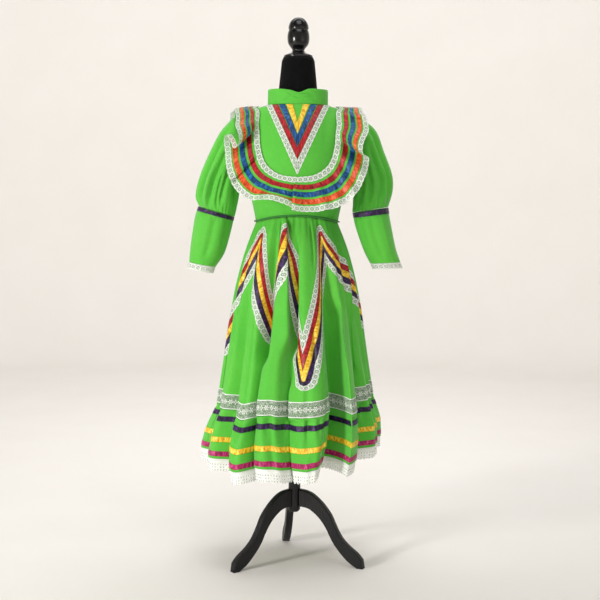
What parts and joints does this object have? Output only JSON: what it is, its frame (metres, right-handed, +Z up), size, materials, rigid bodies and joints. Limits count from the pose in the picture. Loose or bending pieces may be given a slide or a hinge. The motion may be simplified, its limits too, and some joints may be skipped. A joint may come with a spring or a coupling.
{
  "type": "folklorico dress on a limbless dress form with a three-legged stand",
  "caption": "Green long-sleeved folklorico dress with a ribboned ruffle, zigzag skirt bands and a gathered flounce, worn by a black limbless dress form on a wooden tripod stand.",
  "frame": {"origin": "on the floor, under the pole of the stand and the centre of the part's outline", "axes": "+Z up; -Y is the front of the dress; +X is to the viewer's right when facing the front"},
  "size_m": [0.6339, 0.5059, 1.602],
  "materials": {
    "green_cloth": "plain-weave cotton, soft creases",
    "piping_cloth": "rolled cord, dark green",
    "white_lace": "white nylon lace",
    "red_satin": "satin ribbon",
    "blue_satin": "satin ribbon",
    "yellow_satin": "satin ribbon",
    "orange_satin": "satin ribbon",
    "purple_satin": "satin ribbon",
    "magenta_satin": "satin ribbon",
    "black_jersey": "black jersey stretched over the form",
    "black_lacquer": "turned wood under gloss black lacquer",
    "black_wood": "satin black paint"
  },
  "bodies": {
    "root": {"form_torso": "black_jersey", "finial": "black_lacquer", "pole": "black_wood", "hub": "black_wood", "leg_left": "black_wood", "leg_right": "black_wood", "leg_back": "black_wood", "bodice_front": "green_cloth", "bodice_back": "green_cloth", "collar": "green_cloth", "waist_piping": "piping_cloth", "yoke_lace": "white_lace", "yoke_ribbon_red": "red_satin", "yoke_ribbon_blue": "blue_satin", "yoke_ribbon_yellow": "yellow_satin", "ruffle": "green_cloth", "ruffle_lace_inner": "white_lace", "ruffle_ribbon_red": "red_satin", "ruffle_ribbon_blue": "blue_satin", "ruffle_ribbon_orange": "orange_satin", "ruffle_lace_outer": "white_lace", "sleeve_left": "green_cloth", "sleeve_right": "green_cloth", "forearm_left": "green_cloth", "forearm_right": "green_cloth", "sleeve_ribbon_left": "purple_satin", "sleeve_ribbon_right": "purple_satin", "cuff_lace_left": "white_lace", "cuff_lace_right": "white_lace", "skirt_front": "green_cloth", "skirt_back": "green_cloth", "zigzag_lace_upper": "white_lace", "zigzag_ribbon_red": "red_satin", "zigzag_ribbon_yellow": "yellow_satin", "zigzag_ribbon_purple": "purple_satin", "zigzag_lace_lower": "white_lace", "insertion_lace": "white_lace", "flounce_front": "green_cloth", "flounce_back": "green_cloth", "flounce_ribbon_purple": "purple_satin", "flounce_ribbon_yellow": "yellow_satin", "flounce_ribbon_magenta": "magenta_satin", "hem_lace": "white_lace"}
  },
  "joints": []
}
